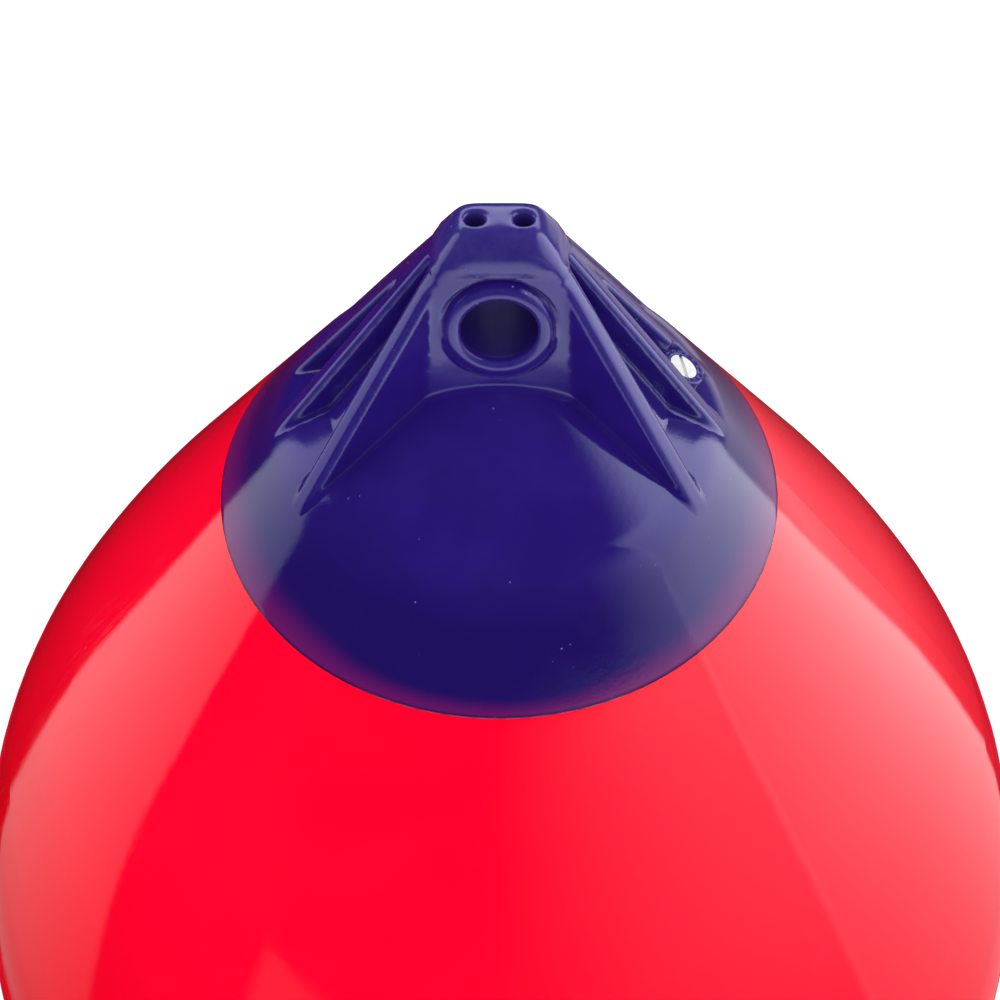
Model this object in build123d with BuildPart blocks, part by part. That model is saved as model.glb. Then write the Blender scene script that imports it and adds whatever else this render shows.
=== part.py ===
from build123d import *
from math import cos, radians, sin, tan
import os

# Inflatable mooring buoy, in millimetres.
# Z is the buoy's own axis, up. The origin is on that axis at the still waterline of the unloaded
# buoy, and -Y is the front: the side that the photograph shows.

# Body
OVERALL_LENGTH = 685.5        # ball's lowest point to the pad on top of the rope hold
BALL_RADIUS = 260.5
DRAFT = 73.0                  # how deep the empty buoy floats
BODY_WALL = 3.2
SHOULDER_START = 31.4         # degrees above the horizon where the ball runs into the shoulder
SHOULDER_RADIUS = 1000.0
CONE_PITCH = 37.0             # degrees: how far the cone's wall leans in from the vertical

# Rope hold's skin
SKIRT_RADIUS = 101.6          # the skirt's rim, measured to the buoy's axis
RIM_THICKNESS = 0.7
SKIN_THICKNESS = 2.6
SKIRT_TAPER = 22.0            # length along the cone over which the skirt thickens
CROWN_EDGE_RADIUS = 80.0      # where the skirt starts to turn into the flatter crown
CROWN_EDGE_ROUND = 36.0
CROWN_SLOPE = 27.5            # degrees that the crown falls outward
CROWN_RADIUS = 60.0           # of the crown's domed middle

# Rope hold's hub
PAD_HALF_WIDTH = 12.0         # across the buoy, at the top
PAD_HALF_DEPTH = 7.3          # front to back, at the top
PAD_CORNER = 3.2
PAD_EDGE_ROUND = 3.0
PAD_FLARE = 35.0              # degrees that the pad's sides spread
PAD_HEIGHT = 14.0             # pad's top down to where its sides have run into the ribs
SHOULDER_DROP = 5.6           # pad down to the top edge of the face
FACE_HALF_TOP = 11.2          # buoy's axis to the face, at the face's top edge
FACE_LEAN = 5.7               # degrees that the face leans back
CORE_RECESS = 11.0            # level distance from the ridges in to the pockets' back wall

# Ribs, fanning out on each side from roots beside the buoy's axis
FAN_SHIFT = 9.4               # axis to the ribs' roots, across the buoy
RIB_ROOTS = (-0.8, 3.5, 2.1, 0.5)       # how far each root lies behind the X axis
RIB_ANGLES = (-34.1, -7.1, 17.3, 52.0)  # degrees that each rib points behind the X axis
RIDGE_PITCH = 36.6            # degrees: how far the ridges lean in from the vertical
RIDGE_HALF_ROOT = 3.5         # ridge's half width at the root
RIDGE_HALF_TIP = 4.3          # ridge's half width at the crown's edge
RIB_DRAFT = 1.5
RIDGE_ROUND = 2.0

# Rope eye
EYE_DIAMETER = 24.0
EYE_EDGE_ROUND = 1.0
EYE_BELOW_TOP = 32.6
RING_DIAMETER = 32.6
RING_HALF_LENGTH = 16.2       # buoy's axis to the ring's face
RING_DRAFT = 20.0
RING_DEPTH = 8.0              # ring's length from its face in to the wall
RING_EDGE_ROUND = 0.8

# Moulding holes in the pad
PAD_HOLE_DIAMETER = 6.2
PAD_HOLE_DEPTH = 12.0
PAD_HOLE_SPACING = 14.6

# Valve, in the right-hand side's middle pocket
VALVE_REACH = 61.7            # from the axis to the middle of the valve, on the crown
VALVE_ANGLE = 8.5             # degrees behind the X axis
SEAT_FLANGE_DIAMETER = 16.0
SEAT_STAND = 5.5              # flange's height above the crown
SEAT_SINK = 1.5               # how deep the flange is let into the crown
SEAT_BARREL_DIAMETER = 13.0
SEAT_LENGTH = 21.0
PLUG_SHANK_DIAMETER = 8.0
PLUG_SHANK_LENGTH = 12.0
PLUG_HEAD_DIAMETER = 10.4
PLUG_HEAD_THICKNESS = 2.4
PLUG_SLOT_WIDTH = 1.4
PLUG_SLOT_DEPTH = 1.2
PLUG_RUNNING_GAP = 0.05       # radial, shank in its bore
PLUG_HEAD_GAP = 0.3           # around and under the head

# Places that follow from the sizes above
BALL_Z = BALL_RADIUS - DRAFT
TOP_Z = OVERALL_LENGTH - DRAFT
CONE_SLOPE = tan(radians(CONE_PITCH))
EYE_Z = TOP_Z - EYE_BELOW_TOP


def polar(radius, angle):
    """A point on a circle about the origin, as (across, up), by its angle above the horizon."""
    return Vector(radius * cos(radians(angle)), radius * sin(radians(angle)))


BALL_CENTRE = Vector(0, BALL_Z)
SHOULDER_CENTRE = BALL_CENTRE + polar(BALL_RADIUS - SHOULDER_RADIUS, SHOULDER_START)
CONE_FOOT = SHOULDER_CENTRE + polar(SHOULDER_RADIUS, CONE_PITCH)
APEX_Z = CONE_FOOT.Y + CONE_FOOT.X / CONE_SLOPE
RIM = Vector(SKIRT_RADIUS, APEX_Z - SKIRT_RADIUS / CONE_SLOPE)
CONE_NORMAL = polar(1, CONE_PITCH)
CONE_CLIMB = Vector(-sin(radians(CONE_PITCH)), cos(radians(CONE_PITCH)))
CROWN_EDGE = Vector(CROWN_EDGE_RADIUS, APEX_Z - CROWN_EDGE_RADIUS / CONE_SLOPE)
CROWN_NORMAL = polar(1, 90 - CROWN_SLOPE)
EDGE_CENTRE = CROWN_EDGE - CONE_NORMAL * CROWN_EDGE_ROUND
CROWN_FOOT = EDGE_CENTRE + CROWN_NORMAL * CROWN_EDGE_ROUND
CROWN_CENTRE = Vector(0, (CROWN_FOOT.dot(CROWN_NORMAL) - CROWN_RADIUS) / CROWN_NORMAL.Y)
RIDGE_SLOPE = tan(radians(RIDGE_PITCH))
RIDGE_APEX_Z = CROWN_EDGE.Y + CROWN_EDGE_RADIUS / RIDGE_SLOPE
HUB_BASE_Z = RIM.Y + 10       # level inside the body from which the hub's solids rise
FACE_TOP_Z = TOP_Z - SHOULDER_DROP


def cone_point(inset, along):
    """A point on the cone's wall, inset square to it, a given way up from the skirt's rim."""
    return RIM - CONE_NORMAL * inset + CONE_CLIMB * along


def crown(inset):
    """The crown's line from the skirt up to the axis, inset square to the outside."""
    CenterArc(EDGE_CENTRE, CROWN_EDGE_ROUND - inset, CONE_PITCH, 90 - CROWN_SLOPE - CONE_PITCH)
    Line(
        EDGE_CENTRE + CROWN_NORMAL * (CROWN_EDGE_ROUND - inset),
        CROWN_CENTRE + CROWN_NORMAL * (CROWN_RADIUS - inset),
    )
    CenterArc(CROWN_CENTRE, CROWN_RADIUS - inset, 90 - CROWN_SLOPE, CROWN_SLOPE)


def crown_corner(inset):
    """Where the skirt runs into the crown's rounded edge, inset from the outside."""
    return EDGE_CENTRE + CONE_NORMAL * (CROWN_EDGE_ROUND - inset)


def body_section(low, rim, high):
    """Closed half section of the blown body, inset by low under the skirt's rim, by rim at it
    and by high from the end of the skirt's taper to the top."""
    CenterArc(BALL_CENTRE, BALL_RADIUS - low, -90, 90 + SHOULDER_START)
    CenterArc(SHOULDER_CENTRE, SHOULDER_RADIUS - low, SHOULDER_START, CONE_PITCH - SHOULDER_START)
    Polyline(
        SHOULDER_CENTRE + polar(SHOULDER_RADIUS - low, CONE_PITCH),
        cone_point(low, 0),
        *([cone_point(rim, 0)] if rim > low else []),
        cone_point(high, SKIRT_TAPER),
        crown_corner(high),
    )
    crown(high)
    Line(
        CROWN_CENTRE + Vector(0, CROWN_RADIUS - high),
        BALL_CENTRE - Vector(0, BALL_RADIUS - low),
    )


def ridge_radius(z):
    """Radius of the cone that the rib ridges lie on."""
    return (RIDGE_APEX_Z - z) * RIDGE_SLOPE


def rib_half_width(reach):
    """A rib's half width on the hub's base, a given way out from its root."""
    tip_reach = CROWN_EDGE_RADIUS - FAN_SHIFT
    ridge_half = RIDGE_HALF_ROOT + (RIDGE_HALF_TIP - RIDGE_HALF_ROOT) * reach / tip_reach
    rise = RIDGE_APEX_Z - (reach + FAN_SHIFT) / RIDGE_SLOPE - HUB_BASE_Z
    return ridge_half + rise * tan(radians(RIB_DRAFT))


# Valve's frame: on the crown's slope, square to it
valve_spot = polar(VALVE_REACH, VALVE_ANGLE)
valve_lean = polar(CROWN_NORMAL.X, VALVE_ANGLE)
valve_foot_z = CROWN_FOOT.Y + (CROWN_FOOT.X - VALVE_REACH) * tan(radians(CROWN_SLOPE))
VALVE = Plane(
    (valve_spot.X, valve_spot.Y, valve_foot_z),
    x_dir=(-valve_spot.Y, valve_spot.X, 0),
    z_dir=(valve_lean.X, valve_lean.Y, CROWN_NORMAL.Y),
)
SEAT_TOP = VALVE.offset(SEAT_STAND)


# Blown body, one sealed skin with the valve's hole through it
with BuildPart() as float_body:
    with BuildSketch(Plane.XZ):
        with BuildLine():
            body_section(0, RIM_THICKNESS, SKIN_THICKNESS)
        make_face()
    revolve(axis=Axis.Z)
    with BuildSketch(Plane.XZ):
        with BuildLine():
            body_section(BODY_WALL, BODY_WALL, BODY_WALL + SKIN_THICKNESS)
        make_face()
    revolve(axis=Axis.Z, mode=Mode.SUBTRACT)
    with BuildSketch(VALVE.offset(-SEAT_LENGTH)):
        Circle(SEAT_BARREL_DIAMETER / 2)
    extrude(amount=2 * SEAT_LENGTH, mode=Mode.SUBTRACT)

# Cone that all ridges lie on, cut off level with the faces' top edges
with BuildPart() as ridge_cone:
    with BuildSketch(Plane.XZ):
        with BuildLine():
            Polyline(
                (0, FACE_TOP_Z),
                (ridge_radius(FACE_TOP_Z), FACE_TOP_Z),
                (ridge_radius(HUB_BASE_Z), HUB_BASE_Z),
                (0, HUB_BASE_Z),
                close=True,
            )
        make_face()
    revolve(axis=Axis.Z)


def window_plan():
    """Plan of the front and back windows, each from rib centre line to rib centre line."""
    for angle, root in ((RIB_ANGLES[0], RIB_ROOTS[0]), (RIB_ANGLES[-1], RIB_ROOTS[-1])):
        corner = polar(2 * SKIRT_RADIUS, angle) + Vector(FAN_SHIFT, root)
        Polygon(
            (-FAN_SHIFT, root),
            (FAN_SHIFT, root),
            (corner.X, corner.Y),
            (-corner.X, corner.Y),
            align=None,
        )


# Section, across the buoy, of the shoulders and the two leaning faces, run down into the crown
face_base_y = FACE_HALF_TOP + (FACE_TOP_Z - HUB_BASE_Z) * tan(radians(FACE_LEAN))
with BuildPart() as face_slab:
    with BuildSketch(Plane.YZ):
        Polygon(
            (-PAD_HALF_DEPTH, TOP_Z),
            (PAD_HALF_DEPTH, TOP_Z),
            (FACE_HALF_TOP, FACE_TOP_Z),
            (face_base_y, HUB_BASE_Z),
            (-face_base_y, HUB_BASE_Z),
            (-FACE_HALF_TOP, FACE_TOP_Z),
            align=None,
        )
    extrude(amount=SKIRT_RADIUS, both=True)

# Wall that the rope eye goes through
with BuildPart() as eye_wall:
    with BuildSketch(Plane.XY.offset(HUB_BASE_Z)):
        window_plan()
    extrude(amount=TOP_Z - HUB_BASE_Z)
    add(face_slab.part, mode=Mode.INTERSECT)
    add(ridge_cone.part, mode=Mode.INTERSECT)

# Pad on top, its sides spreading down into the ribs
with BuildPart() as pad:
    with BuildSketch(Plane.XY.offset(TOP_Z)):
        RectangleRounded(2 * PAD_HALF_WIDTH, 2 * PAD_HALF_DEPTH, PAD_CORNER)
    extrude(amount=-PAD_HEIGHT, taper=-PAD_FLARE)
    fillet(pad.edges().group_by(Axis.Z)[-1], PAD_EDGE_ROUND)
    add(face_slab.part, mode=Mode.INTERSECT)

# Recessed core that closes the side pockets at the back
with BuildPart() as core:
    with BuildSketch(Plane.XZ):
        with BuildLine():
            Polyline(
                (0, HUB_BASE_Z),
                (ridge_radius(HUB_BASE_Z) - CORE_RECESS, HUB_BASE_Z),
                (ridge_radius(FACE_TOP_Z) - CORE_RECESS, FACE_TOP_Z),
                (0, FACE_TOP_Z),
                close=True,
            )
        make_face()
    revolve(axis=Axis.Z)
    with BuildSketch(Plane.XY.offset(HUB_BASE_Z)):
        window_plan()
    extrude(amount=TOP_Z - HUB_BASE_Z, mode=Mode.SUBTRACT)


def make_rib(angle, root_y):
    """One gusset rib: a drafted wedge from its root out to its tip, under the ridge cone."""
    root = -FAN_SHIFT / 2
    reach = ridge_radius(HUB_BASE_Z)
    with BuildPart() as rib:
        with BuildSketch(Plane((FAN_SHIFT, root_y, HUB_BASE_Z)).rotated((0, 0, angle))):
            Polygon(
                (root, -rib_half_width(root)),
                (reach, -rib_half_width(reach)),
                (reach, rib_half_width(reach)),
                (root, rib_half_width(root)),
                align=None,
            )
        extrude(amount=TOP_Z - HUB_BASE_Z, taper=RIB_DRAFT)
        add(ridge_cone.part, mode=Mode.INTERSECT)
        ridge = rib.faces().filter_by(GeomType.CONE).sort_by(SortBy.AREA)[-1]
        long_edges = ridge.edges().sort_by(SortBy.LENGTH)[-2:]
        fillet(long_edges, RIDGE_ROUND)
    return rib.part


right_ribs = [make_rib(angle, root_y) for angle, root_y in zip(RIB_ANGLES, RIB_ROOTS)]

# Raised rings around the two mouths of the rope eye
with BuildPart() as eye_rings:
    for facing in (1, -1):
        ring_face = Plane((0, facing * RING_HALF_LENGTH, EYE_Z), x_dir=(1, 0, 0), z_dir=(0, -facing, 0))
        with BuildSketch(ring_face):
            Circle(RING_DIAMETER / 2)
        extrude(amount=RING_DEPTH, taper=-RING_DRAFT)
    fillet(eye_rings.edges().group_by(Axis.Y)[0] + eye_rings.edges().group_by(Axis.Y)[-1], RING_EDGE_ROUND)

# Rope hold: skin, hub, ribs and the raised eye, in one moulding
with BuildPart() as rope_hold:
    add(core.part)
    add(eye_wall.part)
    add(pad.part)
    for rib in right_ribs:
        add(rib)
        add(rib.mirror(Plane.YZ))
    add(eye_rings.part)
    with BuildSketch(Plane.XZ):
        with Locations((0, EYE_Z)):
            Circle(EYE_DIAMETER / 2)
    extrude(amount=2 * RING_HALF_LENGTH, both=True, mode=Mode.SUBTRACT)
    with BuildSketch(Plane.XY.offset(TOP_Z)):
        with GridLocations(PAD_HOLE_SPACING, 0, 2, 1):
            Circle(PAD_HOLE_DIAMETER / 2)
    extrude(amount=-PAD_HOLE_DEPTH, mode=Mode.SUBTRACT)
    with BuildSketch(Plane.XZ):
        with BuildLine():
            body_section(0, RIM_THICKNESS, SKIN_THICKNESS)
        make_face()
    revolve(axis=Axis.Z, mode=Mode.SUBTRACT)
    with BuildSketch(Plane.XZ):
        with BuildLine():
            crown(0)
            Polyline(
                crown_corner(0),
                cone_point(0, 0),
                cone_point(RIM_THICKNESS, 0),
                cone_point(SKIN_THICKNESS, SKIRT_TAPER),
                crown_corner(SKIN_THICKNESS),
            )
            crown(SKIN_THICKNESS)
            Line(
                CROWN_CENTRE + Vector(0, CROWN_RADIUS - SKIN_THICKNESS),
                CROWN_CENTRE + Vector(0, CROWN_RADIUS),
            )
        make_face()
    revolve(axis=Axis.Z)
    with BuildSketch(VALVE.offset(-SEAT_SINK)):
        Circle(SEAT_FLANGE_DIAMETER / 2)
    extrude(amount=SEAT_LENGTH, mode=Mode.SUBTRACT)
    with BuildSketch(SEAT_TOP):
        Circle(SEAT_BARREL_DIAMETER / 2)
    extrude(amount=-SEAT_LENGTH, mode=Mode.SUBTRACT)
    mouth_edges = rope_hold.edges().filter_by(GeomType.CIRCLE).filter_by(
        lambda edge: abs(abs(edge.center().Y) - RING_HALF_LENGTH) < 0.01
        and abs(edge.radius - EYE_DIAMETER / 2) < 0.01
    )
    fillet(mouth_edges, EYE_EDGE_ROUND)

# Valve seat: flanged insert with a threaded bore and a recess for the plug's head
head_recess = PLUG_HEAD_THICKNESS + PLUG_HEAD_GAP
with BuildPart() as valve_seat:
    with BuildSketch(SEAT_TOP):
        Circle(SEAT_FLANGE_DIAMETER / 2)
    extrude(amount=-(SEAT_STAND + SEAT_SINK))
    with BuildSketch(SEAT_TOP):
        Circle(SEAT_BARREL_DIAMETER / 2)
    extrude(amount=-SEAT_LENGTH)
    with BuildSketch(SEAT_TOP):
        Circle(PLUG_HEAD_DIAMETER / 2 + PLUG_HEAD_GAP)
    extrude(amount=-head_recess, mode=Mode.SUBTRACT)
    with BuildSketch(SEAT_TOP):
        Circle(PLUG_SHANK_DIAMETER / 2 + PLUG_RUNNING_GAP)
    extrude(amount=-SEAT_LENGTH, mode=Mode.SUBTRACT)

# Slotted plug that closes the valve
with BuildPart() as valve_plug:
    with BuildSketch(SEAT_TOP):
        Circle(PLUG_HEAD_DIAMETER / 2)
    extrude(amount=-PLUG_HEAD_THICKNESS)
    with BuildSketch(SEAT_TOP):
        Circle(PLUG_SHANK_DIAMETER / 2)
    extrude(amount=-(PLUG_HEAD_THICKNESS + PLUG_SHANK_LENGTH))
    with BuildSketch(SEAT_TOP):
        Rectangle(PLUG_HEAD_DIAMETER, PLUG_SLOT_WIDTH)
    extrude(amount=-PLUG_SLOT_DEPTH, mode=Mode.SUBTRACT)

os.makedirs("parts", exist_ok=True)
float_body.part.label = "float_body"
export_step(float_body.part, "parts/float_body.step")
rope_hold.part.label = "rope_hold"
export_step(rope_hold.part, "parts/rope_hold.step")
valve_seat.part.label = "valve_seat"
export_step(valve_seat.part, "parts/valve_seat.step")
valve_plug.part.label = "valve_plug"
export_step(valve_plug.part, "parts/valve_plug.step")
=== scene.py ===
import math

import bpy
import numpy as np
from mathutils import Matrix, Vector


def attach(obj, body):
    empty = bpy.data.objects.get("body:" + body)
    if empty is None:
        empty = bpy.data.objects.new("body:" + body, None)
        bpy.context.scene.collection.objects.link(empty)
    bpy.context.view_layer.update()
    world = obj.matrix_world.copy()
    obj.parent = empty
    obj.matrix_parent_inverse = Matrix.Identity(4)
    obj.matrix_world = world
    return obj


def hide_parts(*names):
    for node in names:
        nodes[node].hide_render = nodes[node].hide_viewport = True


# Looks of the inflatable mooring buoy. Metres; Z is the buoy's axis, z = 0 the still waterline
# and -Y the front.

# Camera, at the photograph's own point of view
CAMERA_PLACE = (0.0, -0.3143, 0.8817)
CAMERA_TILT = 37.72           # degrees from straight down
CAMERA_LENS = 49.07
CAMERA_SHIFT = 0.0007
CAMERA_NEAR = 0.01

# Rope hold's skin, the same sizes as in the CAD model
CONE_PITCH = math.radians(37.0)
CROWN_SLOPE = math.radians(27.5)
APEX_Z = 0.62622
RIM_RADIUS = 0.1016
RIM_Z = APEX_Z - RIM_RADIUS / math.tan(CONE_PITCH)
RIM_STEP = 0.0007
CROWN_EDGE_RADIUS = 0.080
CROWN_EDGE_ROUND = 0.036
CROWN_RADIUS = 0.060
EYE_Z = 0.5799

# Points along the skin's line, from the axis outwards
TIP_LEAN = 0.02               # radians; the hub hides the small hole that is left on the axis
TIP_POINTS = 14
ROOF_POINTS = 22
EDGE_POINTS = 18
SKIRT_POINTS = 16
SKIN_TURNS = 400
RIM_CLOSE_POINT = 0.12        # share of the skirt's last step
RIM_ROUND = 0.000075
RIM_SUNK = 0.0004             # how far the rim's step goes on into the red body

# Valve, on the crown's slope, and the hole for it in the skin
VALVE_REACH = 0.0617
VALVE_TURN = math.radians(8.5)
VALVE_HOLE_RADIUS = 0.0066
VALVE_HOLE_DEPTH = 0.004

# Hub: an even mesh, evened out everywhere and much more on the pad
HUB_VOXEL = 0.00068
HUB_ROUNDS = 7
HUB_WEIGHT = 0.5
HUB_OVER_CROWN = 0.00004      # what is lower than this over the crown is left out
HUB_EDGE_DROP = 0.0002
HUB_REACH = 0.094
PAD_ROUNDS = 34
PAD_WEIGHT = 0.6
PAD_FOOT_Z = 0.5985
PAD_FOOT_FADE = 0.004
PAD_HALF_WIDTH = 0.0205
PAD_SIDE_FADE = 0.003
PAD_HOLE_X = 0.0073
PAD_HOLE_CLEAR = 0.0042
PAD_HOLE_FADE = 0.0012
PAD_WIDER = 0.035             # shares that make up for what the evening out takes off
PAD_DEEPER = 0.055
RING_REACH = 0.0189
RING_REACH_FADE = 0.0008
RING_FOOT_Y = 0.006
RING_FOOT_FADE = 0.006
RING_LEAN = math.tan(math.radians(6.5))

# Valve collar's line, as (distance from the valve's axis, height over the crown), and its dents
COLLAR_LINE = (
    (0.00552, 0.00546), (0.00562, 0.00566), (0.00585, 0.00578), (0.00615, 0.00580),
    (0.00640, 0.00580), (0.00660, 0.00580), (0.00680, 0.00580), (0.00705, 0.00580),
    (0.00735, 0.00578), (0.00765, 0.00568), (0.00790, 0.00548), (0.00805, 0.00520),
    (0.00810, 0.00480), (0.00812, 0.00300), (0.00830, 0.00120), (0.00870, -0.00060),
)
COLLAR_DENTS = 14
POINTS_A_DENT = 14
DENT_REACH = 0.0066
DENT_HALF_WIDTH = 0.0006
DENT_DEPTH = 0.00045

# Colours: linear red, green and blue, and alpha
RED_DEEP = (0.93, 0.0003, 0.0235, 1)
RED_PALE = (0.98, 0.0006, 0.0270, 1)
# Painted shade: the red darkens towards the lower left, where less light falls
RED_PAINTED_SHADE = (0.69, 0.0002, 0.0050, 1)
RED_SCRATCH = (1.0, 0.09, 0.12, 1)
RED_DUST = (0.42, 0.0, 0.02, 1)
BLUE_DEEP = (0.0165, 0.0062, 0.138, 1)
BLUE_PALE = (0.0225, 0.0082, 0.178, 1)
# Painted shade on the lower skirt
BLUE_SKIRT_SHADE = (0.0125, 0.0042, 0.105, 1)
BLUE_THIN = (0.150, 0.007, 0.115, 1)
BLUE_LIP = (0.016, 0.003, 0.070, 1)
# Painted highlight, partly scuffing, on edges and the pad's top
BLUE_HIGHLIGHT_AND_WEAR = (0.056, 0.050, 0.235, 1)
# Painted shade in hollow corners
BLUE_HOLLOW_SHADE = (0.004, 0.002, 0.045, 1)
BLUE_SPECK = (0.45, 0.42, 0.70, 1)
# Painted shade inside the eye's bore
BLUE_BORE_SHADE = (0.004, 0.002, 0.050, 1)
BLUE_GLOSS = (0.68, 0.70, 1.0, 1)
PLUG_CLEAN = (0.78, 0.78, 0.77, 1)
PLUG_WORN = (0.68, 0.68, 0.69, 1)
PAPER_DEEP = (0.80, 0.80, 0.80, 1)
PAPER_PALE = (0.82, 0.82, 0.82, 1)
GLOW_RED = (1, 0.01, 0.05, 1)
WHITE = (1, 1, 1, 1)

# Gloss
VINYL_IOR = 1.5
RED_ROUGHNESS = (0.035, 0.075)
BLUE_ROUGHNESS = (0.07, 0.13)
PLUG_ROUGHNESS = (0.25, 0.42)
BLUE_GLOSS_LEVEL = 0.72
BORE_GLOSS_LEVEL = 0.10
BLUE_EDGE_ROUND = 0.0007
PLUG_EDGE_ROUND = 0.0003

# Places of the shades; a range goes from where a shade starts to where it is full
# Painted shade of the red body towards the lower left
RED_SHADE_SLANT = 0.9           # how much x counts against z
RED_SHADE_RANGE = (0.34, -0.02)
# Painted shade on the skirt, by height
SKIRT_SHADE_RANGE = (0.536, 0.512)
THIN_HEIGHT = 0.0060          # of the rim that lets the red through, in front and behind
THIN_MORE = 0.0145            # and how much more of it at the sides
THIN_RAGGED = 0.24
THIN_RANGE = (RIM_Z + 0.030, RIM_Z + 0.028)
LIP_RANGE = (RIM_Z + 0.0010, RIM_Z + 0.0004)
# Painted highlight, partly scuffing, on the pad's top
PAD_HIGHLIGHT_RANGE = (0.5990, 0.6040)
BORE_REACH_RANGE = (0.0127, 0.0122)
BORE_END_RANGE = (0.0152, 0.0138)

# Studio
FLOOR_HALF = 40.0
FLOOR_LIFT = 0.25             # light that the paper adds for the camera only
FILL = 1.20                   # light for diffuse rays, and what each direction adds to it
FILL_X = 0.08
FILL_Y = 0.26
FILL_Z = 0.14
FILL_FROM_LIGHTS = 0.12
DARK_LEVEL = 0.004
PATCH_LEVEL = 0.28
STRIP_LEVEL = 2.9
GLOW_LEVEL = 0.5

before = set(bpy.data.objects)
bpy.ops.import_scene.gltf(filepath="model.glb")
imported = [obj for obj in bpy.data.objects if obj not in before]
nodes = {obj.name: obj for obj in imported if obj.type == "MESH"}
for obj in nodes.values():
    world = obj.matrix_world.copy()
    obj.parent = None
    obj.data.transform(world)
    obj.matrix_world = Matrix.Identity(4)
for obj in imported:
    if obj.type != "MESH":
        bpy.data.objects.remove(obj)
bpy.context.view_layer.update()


class Tree:
    """Short-hand for building a node tree."""

    def __init__(self, owner):
        owner.use_nodes = True
        self.nodes = owner.node_tree.nodes
        self.links = owner.node_tree.links
        self.nodes.clear()

    def add(self, kind, inputs=(), **settings):
        node = self.nodes.new(kind)
        for name, value in settings.items():
            setattr(node, name, value)
        for socket, value in dict(inputs).items():
            if isinstance(value, bpy.types.NodeSocket):
                self.links.new(value, node.inputs[socket])
            else:
                node.inputs[socket].default_value = value
        return node

    def end(self, kind, shader):
        self.add(kind, {"Surface": shader.outputs[0]})

    def place(self, kind="Object"):
        """A place or a direction, whole and as its three parts."""
        place = self.add("ShaderNodeTexCoord").outputs[kind]
        return place, *self.add("ShaderNodeSeparateXYZ", {0: place}).outputs

    def math(self, operation, first, second=0.0, third=0.0):
        inputs = {0: first, 1: second, 2: third}
        return self.add("ShaderNodeMath", inputs, operation=operation).outputs[0]

    def plus(self, first, second):
        return self.math("ADD", first, second)

    def minus(self, first, second):
        return self.math("SUBTRACT", first, second)

    def times(self, first, *others):
        for other in others:
            first = self.math("MULTIPLY", first, other)
        return first

    def times_plus(self, first, second, third):
        return self.math("MULTIPLY_ADD", first, second, third)

    def power(self, value, exponent):
        return self.math("POWER", value, exponent)

    def unsigned(self, value):
        return self.math("ABSOLUTE", value)

    def at_least(self, value, least):
        return self.math("MAXIMUM", value, least)

    def at_most(self, value, most):
        return self.math("MINIMUM", value, most)

    def grow(self, value, rate, scale):
        """scale times e to the power rate times value."""
        return self.times(self.math("EXPONENT", self.times(value, rate)), scale)

    def step(self, value, start, end, low=0.0, high=1.0, smooth=True):
        """low up to start, high from end on, and a slope between them."""
        node = self.add(
            "ShaderNodeMapRange",
            {"Value": value, "From Min": start, "From Max": end, "To Min": low, "To Max": high},
            interpolation_type="SMOOTHSTEP" if smooth else "LINEAR",
            clamp=True,
        )
        return node.outputs["Result"]

    def window(self, value, low, high, soft):
        """1 between low and high and 0 outside, with soft edges."""
        above = self.step(self.minus(value, low), -soft, soft)
        below = self.step(self.minus(high, value), -soft, soft)
        return self.times(above, below)

    def blend(self, factor, first, second):
        """A number between two numbers."""
        node = self.add("ShaderNodeMix", {0: factor, 2: first, 3: second}, data_type="FLOAT")
        return node.outputs[0]

    def mix(self, factor, first, second):
        """A colour between two colours."""
        node = self.add("ShaderNodeMix", {0: factor, 6: first, 7: second}, data_type="RGBA")
        return node.outputs[2]

    def noise(self, vector, scale, detail=2.0, roughness=0.5):
        node = self.add(
            "ShaderNodeTexNoise",
            {"Vector": vector, "Scale": scale, "Detail": detail, "Roughness": roughness},
        )
        return node.outputs["Fac"]

    def specks(self, vector, scale, start, end):
        """Round specks, whose edge is at start and full at end, in widths of a cell."""
        inputs = {"Vector": vector, "Scale": scale, "Randomness": 1.0}
        cells = self.add("ShaderNodeTexVoronoi", inputs)
        return self.step(cells.outputs["Distance"], start, end)

    def bump(self, height, distance, strength=1.0, normal=None):
        inputs = {"Height": height, "Distance": distance, "Strength": strength}
        if normal is not None:
            inputs["Normal"] = normal
        return self.add("ShaderNodeBump", inputs).outputs["Normal"]

    def round_edges(self, radius):
        return self.add("ShaderNodeBevel", {"Radius": radius}, samples=4).outputs[0]


def link(name, data):
    obj = bpy.data.objects.new(name, data)
    bpy.context.scene.collection.objects.link(obj)
    return obj


def make_object(name, points, faces):
    mesh = bpy.data.meshes.new(name)
    mesh.from_pydata([tuple(p) for p in points], [], [tuple(f) for f in faces])
    mesh.validate()
    mesh.shade_smooth()
    return link(name, mesh)


def lathe(name, profile, steps, place=Matrix.Identity(4), shape=None, keep=None):
    """Surface turned about Z from (radius, z) pairs; shape moves each point, keep drops faces."""
    turns = np.arange(steps) * (2 * math.pi / steps)
    points = []
    for radius, z in profile:
        for turn in turns:
            p = Vector((radius * math.cos(turn), radius * math.sin(turn), z))
            points.append(place @ (shape(p, turn) if shape else p))
    faces = []
    for near in range(0, (len(profile) - 1) * steps, steps):
        far = near + steps
        for column in range(steps):
            after = (column + 1) % steps
            face = (near + column, near + after, far + after, far + column)
            if keep is None or all(keep(points[i]) for i in face):
                faces.append(face)
    return make_object(name, points, faces)


# Shapes
def arc(middle, radius, leans):
    x, y = middle
    return [(x + radius * math.sin(lean), y + radius * math.cos(lean)) for lean in leans]


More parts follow.
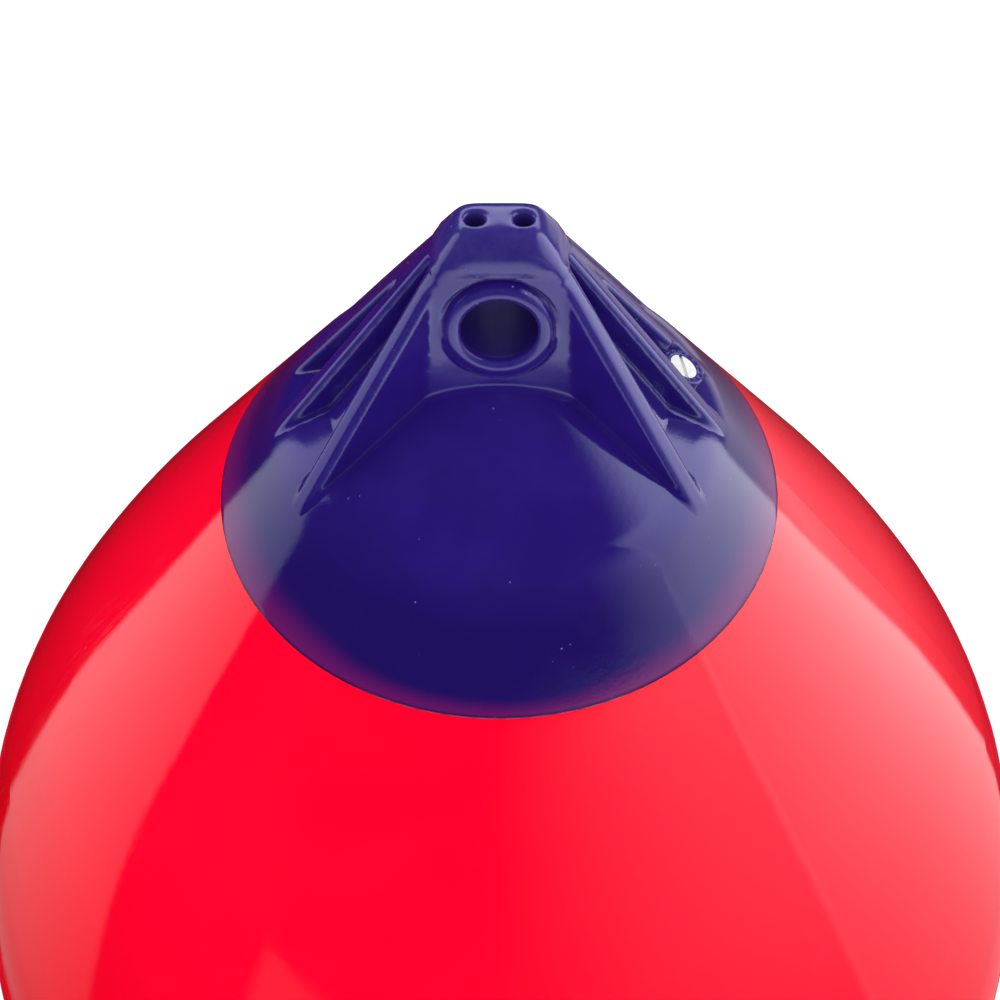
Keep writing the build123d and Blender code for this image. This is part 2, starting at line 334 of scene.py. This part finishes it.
def crown_line():
    """The hold's outside from the axis to the skirt's rim, as (radius, z) pairs."""
    wall = Vector((math.cos(CONE_PITCH), math.sin(CONE_PITCH)))
    roof = Vector((math.sin(CROWN_SLOPE), math.cos(CROWN_SLOPE)))
    edge = Vector((CROWN_EDGE_RADIUS, APEX_Z - CROWN_EDGE_RADIUS / math.tan(CONE_PITCH)))
    centre = edge - wall * CROWN_EDGE_ROUND
    foot = centre + roof * CROWN_EDGE_ROUND
    dome_z = (foot.dot(roof) - CROWN_RADIUS) / roof.y
    line = arc((0, dome_z), CROWN_RADIUS, np.linspace(TIP_LEAN, CROWN_SLOPE, TIP_POINTS))
    start = Vector(line.pop())
    for share in np.linspace(0, 1, ROOF_POINTS):
        line.append(tuple(start.lerp(foot, share)))
    leans = np.linspace(CROWN_SLOPE, math.pi / 2 - CONE_PITCH, EDGE_POINTS)
    line += arc(centre, CROWN_EDGE_ROUND, leans[1:])
    for share in np.linspace(0, 1, SKIRT_POINTS)[1:]:
        line.append(tuple(edge.lerp(Vector((RIM_RADIUS, RIM_Z)), share)))
    return line


CROWN_LINE = crown_line()
CROWN_RADII = np.array([p[0] for p in CROWN_LINE])
CROWN_LEVELS = np.array([p[1] for p in CROWN_LINE])


def height_over_crown(points):
    """Distance of each point outside the crown's surface, square to it."""
    spread = np.hypot(points[:, 0], points[:, 1])
    level = np.interp(spread, CROWN_RADII, CROWN_LEVELS)
    slope = np.interp(spread, CROWN_RADII, np.gradient(CROWN_LEVELS, CROWN_RADII))
    return (points[:, 2] - level) / np.sqrt(1 + slope ** 2)


def valve_frame():
    """The valve's own axes: Z out of the crown, from a spot on its surface."""
    reach = Vector((math.cos(VALVE_TURN), math.sin(VALVE_TURN), 0))
    up = reach * math.sin(CROWN_SLOPE) + Vector((0, 0, math.cos(CROWN_SLOPE)))
    across = Vector((-math.sin(VALVE_TURN), math.cos(VALVE_TURN), 0))
    spot = reach * VALVE_REACH
    spot.z = float(np.interp(VALVE_REACH, CROWN_RADII, CROWN_LEVELS))
    axes = Matrix((across, up.cross(across), up)).transposed().to_4x4()
    axes.translation = spot
    return axes


VALVE = valve_frame()
VALVE_BACK = VALVE.inverted()


def read_all(items, field, width, kind):
    values = np.empty(len(items) * width, dtype=kind)
    items.foreach_get(field, values)
    return values.reshape(-1, width)


def smooth_mesh(points, edges, weight, rounds):
    """Moves each point towards the mean of its neighbours, by its own weight, a number of times."""
    first, second = edges[:, 0], edges[:, 1]
    size = len(points)
    count = np.bincount(first, minlength=size) + np.bincount(second, minlength=size)
    count = np.maximum(count, 1)[:, None]
    for _ in range(rounds):
        total = np.zeros_like(points)
        for axis in range(3):
            total[:, axis] += np.bincount(first, points[second, axis], minlength=size)
            total[:, axis] += np.bincount(second, points[first, axis], minlength=size)
        points = points + (total / count - points) * weight[:, None]
    return points


def ramp(value, width):
    """0 up to zero, 1 from the width on, and a straight slope between them."""
    return np.clip(value / width, 0, 1)


def hold_hub(source):
    """The hub with its ribs, pad and ring, as one even mesh whose edges and feet are rounded as
    a moulding's are. Only what stands out of the crown is kept; the skin is a piece of its own."""
    copy = link("hub_source", source.data.copy())
    remesh = copy.modifiers.new("even", "REMESH")
    remesh.mode = "VOXEL"
    remesh.voxel_size = HUB_VOXEL
    result = copy.evaluated_get(bpy.context.evaluated_depsgraph_get())
    even = bpy.data.meshes.new_from_object(result)
    bpy.data.objects.remove(copy)
    points = read_all(even.vertices, "co", 3, np.float64)
    edges = read_all(even.edges, "vertices", 2, np.int64)
    faces = read_all(even.polygons, "vertices", 4, np.int64)
    bpy.data.meshes.remove(even)

    # Everything is evened out a little, and the pad's edges much more
    points = smooth_mesh(points, edges, np.full(len(points), HUB_WEIGHT), HUB_ROUNDS)
    x, y, z = np.abs(points[:, 0]), np.abs(points[:, 1]), points[:, 2]
    pad = ramp(z - PAD_FOOT_Z, PAD_FOOT_FADE) * ramp(PAD_HALF_WIDTH - x, PAD_SIDE_FADE)
    pad *= ramp(np.hypot(x - PAD_HOLE_X, y) - PAD_HOLE_CLEAR, PAD_HOLE_FADE)
    points = smooth_mesh(points, edges, PAD_WEIGHT * pad, PAD_ROUNDS)
    points[:, 0] *= 1 + PAD_WIDER * pad
    points[:, 1] *= 1 + PAD_DEEPER * pad

    # The ring lies back with the face it stands on
    off_axis = np.hypot(points[:, 0], points[:, 2] - EYE_Z)
    ring = ramp(RING_REACH - off_axis, RING_REACH_FADE)
    ring *= ramp(np.abs(points[:, 1]) - RING_FOOT_Y, RING_FOOT_FADE)
    points[:, 1] += ring * np.sign(-points[:, 1]) * RING_LEAN * (points[:, 2] - EYE_Z)

    over = height_over_crown(points)
    inside = np.hypot(points[:, 0], points[:, 1]) < HUB_REACH
    shown = (over > HUB_OVER_CROWN) & inside
    kept = faces[shown[faces].any(axis=1)]
    used = np.unique(kept)
    number = np.full(len(points), -1, dtype=np.int64)
    number[used] = np.arange(len(used))
    sunk = points[used]
    sunk[:, 2] -= np.clip(HUB_OVER_CROWN - over[used], 0, HUB_EDGE_DROP)
    return make_object("hold_hub", sunk.tolist(), number[kept].tolist())


def hold_skin():
    """Crown and skirt, turned, with the small step down at the rim."""
    inward = Vector((-math.cos(CONE_PITCH), -math.sin(CONE_PITCH)))
    rim = Vector((RIM_RADIUS, RIM_Z))
    line = CROWN_LINE[:-1]
    line.append(tuple(rim.lerp(Vector(line[-1]), RIM_CLOSE_POINT)))
    line.append(tuple(rim + inward * RIM_ROUND))
    line.append(tuple(rim + inward * (RIM_STEP + RIM_SUNK)))

    def clear_of_valve(p):
        local = VALVE_BACK @ p
        return local.z < -VALVE_HOLE_DEPTH or math.hypot(local.x, local.y) > VALVE_HOLE_RADIUS

    return lathe("hold_skin", line, SKIN_TURNS, keep=clear_of_valve)


def seat_collar():
    """Rolled lip round the valve seat, with a ring of small dents from the tool that set it."""

    def dent(p, turn):
        off_ring = (math.hypot(p.x, p.y) - DENT_REACH) / DENT_HALF_WIDTH
        depth = DENT_DEPTH * max(0.0, 1 - off_ring ** 2)
        p.z -= depth * max(0.0, math.cos(COLLAR_DENTS * turn)) ** 2
        return p

    turns = COLLAR_DENTS * POINTS_A_DENT
    return lathe("seat_collar", COLLAR_LINE[::-1], turns, place=VALVE, shape=dent)


# Materials
def new_material(name):
    material = bpy.data.materials.new(name)
    return material, Tree(material)


def plastic(t, inputs):
    t.end("ShaderNodeOutputMaterial", t.add("ShaderNodeBsdfPrincipled", inputs))


def use(obj, material):
    obj.data.materials.clear()
    obj.data.materials.append(material)


def vinyl_red():
    """Glossy blown vinyl: even colour, faint drifts of shade, painted shade towards the lower left,
    hairline scratches and dust marks.
    """
    material, t = new_material("vinyl_red")
    place, x, y, z = t.place()
    drift = t.noise(place, scale=5.0, detail=3.0)
    shade = t.mix(t.step(drift, 0.35, 0.7), RED_DEEP, RED_PALE)
    # Painted shade: darker towards the lower left, where less light falls
    low = t.step(t.times_plus(x, RED_SHADE_SLANT, z), *RED_SHADE_RANGE)
    shade = t.mix(low, shade, RED_PAINTED_SHADE)

    # Hairline scratches run down the cone, so the pattern is stretched along the slope
    around = t.math("ARCTAN2", x, y)
    lane = t.add("ShaderNodeCombineXYZ", {0: t.times(around, 46.0), 1: t.times(z, 9.0)})
    streak = t.noise(lane.outputs[0], scale=1.6, detail=2.0, roughness=0.55)
    thin = t.step(t.unsigned(t.minus(streak, 0.5)), 0.0035, 0.0)
    patches = t.step(t.noise(place, scale=9.0, detail=1.0), 0.56, 0.72)
    scratch = t.times(thin, patches)
    shade = t.mix(t.times(scratch, 0.16), shade, RED_SCRATCH)

    # Dust marks, in patches
    patches = t.step(t.noise(place, scale=14.0, detail=0.0), 0.66, 0.74)
    dust = t.times(t.specks(place, 75.0, 0.05, 0.03), patches)
    shade = t.mix(t.times(dust, 0.5), shade, RED_DUST)

    sheen = t.noise(place, scale=22.0, detail=4.0, roughness=0.6)
    rough = t.step(sheen, 0.3, 0.75, *RED_ROUGHNESS)
    rough = t.plus(rough, t.times(scratch, 0.15))
    normal = t.bump(t.noise(place, scale=6.5, detail=1.0), 0.0012, 0.12)
    normal = t.bump(t.noise(place, scale=130.0, detail=2.0), 0.00006, 0.35, normal)
    normal = t.bump(scratch, -0.00002, 0.5, normal)
    plastic(t, {"Base Color": shade, "Roughness": rough, "Normal": normal, "IOR": VINYL_IOR})
    return material


def vinyl_blue():
    """Moulded vinyl of the rope hold. The thin skirt lets the red body show through at its rim."""
    material, t = new_material("vinyl_blue")
    place, x, y, z = t.place()
    cloud = t.noise(place, scale=28.0, detail=3.0, roughness=0.6)
    shade = t.mix(t.step(cloud, 0.3, 0.75), BLUE_DEEP, BLUE_PALE)

    # Painted shade: the skirt, lower down and less lit, is a shade deeper than the crown
    shade = t.mix(t.step(z, *SKIRT_SHADE_RANGE), shade, BLUE_SKIRT_SHADE)

    # Translucent rim: purple-red running into blue as the skirt thickens, wider at the sides
    side = t.power(t.math("SINE", t.math("ARCTAN2", x, y)), 2.0)
    top = t.times_plus(side, THIN_MORE, RIM_Z + THIN_HEIGHT)
    share = t.math("DIVIDE", t.minus(top, z), t.minus(top, RIM_Z))
    ragged = t.times_plus(t.noise(place, scale=30.0), THIN_RAGGED, -THIN_RAGGED / 2)
    thin = t.times(t.step(t.plus(share, ragged), 0.0, 1.15), t.step(z, *THIN_RANGE))
    shade = t.mix(thin, shade, BLUE_THIN)
    lip = t.step(z, *LIP_RANGE)
    shade = t.mix(t.times(lip, 0.85), shade, BLUE_LIP)

    # Painted highlight, partly scuffing: edges of ribs, ring and pad, and the pad's top, are
    # lighter
    bend = t.add("ShaderNodeNewGeometry").outputs["Pointiness"]
    patchiness = t.noise(place, scale=160.0, detail=4.0, roughness=0.7)
    patchiness = t.step(patchiness, 0.25, 0.75, low=0.45)
    pad = t.times(t.step(z, *PAD_HIGHLIGHT_RANGE), 0.55)
    highlight_and_wear = t.times(t.at_least(t.step(bend, 0.503, 0.55), pad), patchiness)
    shade = t.mix(t.times(highlight_and_wear, 0.75), shade, BLUE_HIGHLIGHT_AND_WEAR)
    # Painted shade: hollow corners stay dark
    shade = t.mix(t.step(bend, 0.495, 0.44, high=0.6), shade, BLUE_HOLLOW_SHADE)

    # Pale specks left by moulding, in patches
    patches = t.step(t.noise(place, scale=60.0, detail=1.0), 0.62, 0.70)
    dot = t.times(t.specks(place, 300.0, 0.13, 0.06), patches)
    shade = t.mix(t.times(dot, 0.45), shade, BLUE_SPECK)

    # The eye's bore is matt from its core pin; its colour is darkened as painted shade inside the
    # hole
    off_axis = t.math("SQRT", t.plus(t.power(x, 2.0), t.power(t.minus(z, EYE_Z), 2.0)))
    bore = t.times(t.step(off_axis, *BORE_REACH_RANGE), t.step(t.unsigned(y), *BORE_END_RANGE))
    shade = t.mix(t.times(bore, 0.45), shade, BLUE_BORE_SHADE)

    smear = t.noise(place, scale=45.0, detail=4.0, roughness=0.65)
    rough = t.step(smear, 0.3, 0.75, *BLUE_ROUGHNESS)
    rough = t.times_plus(bore, 0.4, t.times_plus(highlight_and_wear, 0.16, rough))
    gloss = t.times_plus(bore, BORE_GLOSS_LEVEL - BLUE_GLOSS_LEVEL, BLUE_GLOSS_LEVEL)
    normal = t.round_edges(BLUE_EDGE_ROUND)
    normal = t.bump(t.noise(place, scale=26.0, detail=1.0), 0.0006, 0.10, normal)
    grain = t.noise(place, scale=420.0, detail=3.0, roughness=0.6)
    normal = t.bump(grain, 0.00005, 0.45, normal)
    normal = t.bump(dot, 0.00008, 0.6, normal)
    inputs = {"Base Color": shade, "Roughness": rough, "Normal": normal, "IOR": VINYL_IOR}
    plastic(t, inputs | {"Specular IOR Level": gloss, "Specular Tint": BLUE_GLOSS})
    return material


def plug_white():
    """White plug, lightly scuffed."""
    material, t = new_material("plug_white")
    place = t.place()[0]
    wear = t.noise(place, scale=300.0, detail=4.0, roughness=0.6)
    shade = t.mix(t.step(wear, 0.35, 0.8), PLUG_CLEAN, PLUG_WORN)
    rough = t.step(wear, 0.3, 0.8, *PLUG_ROUGHNESS)
    grain = t.noise(place, scale=900.0, detail=2.0)
    normal = t.bump(grain, 0.00004, 0.4, t.round_edges(PLUG_EDGE_ROUND))
    plastic(t, {"Base Color": shade, "Roughness": rough, "Normal": normal})
    return material


def floor_paper():
    """White paper that glossy rays pass through, so that they see the studio all round."""
    material, t = new_material("floor_paper")
    rays = t.add("ShaderNodeLightPath").outputs
    grain = t.noise(t.place()[0], scale=60.0, detail=3.0)
    paper = t.add("ShaderNodeBsdfDiffuse", {"Color": t.mix(grain, PAPER_DEEP, PAPER_PALE)})
    strength = t.times(rays["Is Camera Ray"], FLOOR_LIFT)
    lift = t.add("ShaderNodeEmission", {"Color": WHITE, "Strength": strength})
    both = t.add("ShaderNodeAddShader", {0: paper.outputs[0], 1: lift.outputs[0]})
    clear = t.add("ShaderNodeBsdfTransparent")
    ways = {0: rays["Is Glossy Ray"], 1: both.outputs[0], 2: clear.outputs[0]}
    t.end("ShaderNodeOutputMaterial", t.add("ShaderNodeMixShader", ways))
    return material


# Pieces and what they are made of
red = vinyl_red()
blue = vinyl_blue()
white = plug_white()
use(nodes["float_body"], red)
hub = hold_hub(nodes["rope_hold"])
skin = hold_skin()
for piece in (hub, skin):
    use(piece, blue)
    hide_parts("rope_hold")
    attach(piece, "buoy")
collar = seat_collar()
use(collar, blue)
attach(collar, "buoy")
use(nodes["valve_seat"], blue)
use(nodes["valve_plug"], white)
for node in nodes.values():
    node.data.shade_smooth()

# Floor
corners = ((-1, -1), (1, -1), (1, 1), (-1, 1))
floor_mesh = bpy.data.meshes.new("floor")
floor_points = [(x * FLOOR_HALF, y * FLOOR_HALF, 0) for x, y in corners]
floor_mesh.from_pydata(floor_points, [], [(0, 1, 2, 3)])
floor = link("floor", floor_mesh)
use(floor, floor_paper())


# Lights of the studio, as levels over the directions. Angles are in degrees: turn is 0 in front
# and grows to the right, rise is 0 at the horizon and grows upwards
def left_softbox(t, turn, rise):
    """Shape and level of the left softbox, brighter to the back and upwards."""
    side = t.times(turn, -1.0)
    dip = t.at_least(t.times(rise, -1.0), 0.0)
    bend = t.times_plus(t.power(dip, 2.0), 0.008, t.times(dip, 0.35))
    front_edge = t.times_plus(t.at_least(rise, 0.0), 0.28, t.minus(88.0, bend))
    back_edge = t.minus(120.5, t.times(t.at_least(t.minus(dip, 18.0), 0.0), 0.35))
    across = t.window(side, front_edge, back_edge, soft=1.2)
    shape = t.times(across, t.window(rise, -52.0, 38.0, soft=2.5))
    level = t.step(rise, -42.0, 8.0, low=0.32, high=1.75, smooth=False)
    level = t.times(level, t.step(side, 76.0, 112.0, low=0.30, smooth=False))
    return shape, level


def right_softbox(t, turn, rise):
    """Right softbox, brighter to the back and upwards, and never above the level most."""
    most = 3.6
    shape = t.times(t.window(turn, 67.5, 121.5, soft=1.2), t.step(rise, 57.0, 44.0))
    by_turn = t.grow(t.minus(turn, 96.0), rate=0.0335, scale=1.21)
    by_rise = t.grow(t.plus(t.at_most(rise, 2.0), 20.0), rate=0.057, scale=1.0)
    level = t.times(by_turn, by_rise)
    fall = t.math("SQRT", t.times_plus(t.power(level, 2.0), 1 / most ** 2, 1.0))
    return t.times(shape, t.math("DIVIDE", level, fall))


def right_spill(t, turn, rise):
    """The right softbox's spill on the side towards the camera. Above a line that runs from
    12.6 degrees in front down to the sides it starts further out."""
    over = t.plus(rise, t.times_plus(t.power(turn, 2.0), 0.0022, -12.6))
    start = t.step(over, -0.3, 1.2, low=-4.0, high=38.0)
    width = t.step(over, -0.3, 1.2, low=68.0, high=32.0)
    share = t.math("DIVIDE", t.minus(turn, start), width)
    share = t.power(t.at_least(share, 0.0), 1.6)
    by_rise = t.grow(t.minus(t.at_most(rise, 10.0), 5.0), rate=0.07, scale=1.25)
    return t.times(share, by_rise, t.step(turn, 70.0, 66.0), t.step(rise, 50.0, 25.0))


def right_rear(t, turn, rise):
    """Light low on the right, behind the softbox."""
    level = t.grow(t.plus(t.at_most(rise, -22.0), 25.0), rate=0.16, scale=0.5)
    across = t.window(turn, 121.5, 168.0, soft=1.2)
    return t.times(level, across, t.step(rise, -4.0, -18.0, low=0.15))


def front_card(t, turn, rise):
    """White card low in front, brighter to the right."""
    shape = t.times(t.window(turn, -46.0, 46.0, soft=4.0), t.step(rise, -6.0, -28.0))
    shape = t.times(shape, t.step(rise, -66.0, -52.0))
    return t.times(shape, t.step(turn, -30.0, 30.0, low=1.3, high=2.3, smooth=False))


def faint_patch(t, turn, rise):
    """Faint patch above the card's left end."""
    across = t.window(turn, -47.0, -21.0, soft=2.0)
    return t.times(across, t.window(rise, -12.0, -3.0, soft=0.6), PATCH_LEVEL)


def high_strip(t, turn, rise):
    """Strip light high behind."""
    across = t.step(t.unsigned(turn), 128.0, 150.0)
    return t.times(t.window(rise, 24.0, 42.6, soft=0.8), across, STRIP_LEVEL)


def red_glow(t, turn, rise):
    """Red light from the paper below and behind the body."""
    side = t.unsigned(turn)
    below = t.times(t.step(rise, -45.5, -51.0), t.step(side, 60.0, 80.0))
    behind = t.times(t.step(rise, -6.0, -22.0, high=0.2), t.step(side, 119.0, 124.0))
    return t.at_least(below, behind)


def studio():
    """White to the camera, a soft even light on the object, and in its gloss the photograph's
    studio: two tall softboxes left and right, a white card low in front and a light behind."""
    world = bpy.data.worlds.new("studio")
    bpy.context.scene.world = world
    t = Tree(world)
    x, y, z = t.place("Generated")[1:]
    turn = t.math("DEGREES", t.math("ARCTAN2", x, t.times(y, -1.0)))
    rise = t.math("DEGREES", t.math("ARCSINE", z))

    left_shape, left_level = left_softbox(t, turn, rise)
    lights = t.times_plus(left_shape, left_level, DARK_LEVEL)
    for light in (right_softbox, right_spill, right_rear, front_card, faint_patch, high_strip):
        lights = t.plus(lights, light(t, turn, rise))
    glow = t.times(red_glow(t, turn, rise), t.minus(1.0, left_shape))

    rays = t.add("ShaderNodeLightPath").outputs
    fill = FILL
    for value, share in ((x, FILL_X), (y, FILL_Y), (z, FILL_Z), (lights, FILL_FROM_LIGHTS)):
        fill = t.times_plus(value, share, fill)
    level = t.blend(rays["Is Glossy Ray"], fill, lights)
    straight = t.at_least(rays["Is Camera Ray"], rays["Is Transmission Ray"])
    level = t.blend(straight, level, 1.0)
    sky = t.add("ShaderNodeBackground", {"Color": WHITE, "Strength": level})
    glow = t.times(glow, rays["Is Glossy Ray"], GLOW_LEVEL)
    red_sky = t.add("ShaderNodeBackground", {"Color": GLOW_RED, "Strength": glow})
    both = t.add("ShaderNodeAddShader", {0: sky.outputs[0], 1: red_sky.outputs[0]})
    t.end("ShaderNodeOutputWorld", both)


studio()

# Camera
camera_data = bpy.data.cameras.new("camera")
camera = link("camera", camera_data)
camera.location = CAMERA_PLACE
camera.rotation_euler = (math.radians(CAMERA_TILT), 0, 0)
camera_data.lens = CAMERA_LENS
camera_data.shift_x = CAMERA_SHIFT
camera_data.clip_start = CAMERA_NEAR
bpy.context.scene.camera = camera
bpy.context.scene.view_settings.view_transform = "Standard"
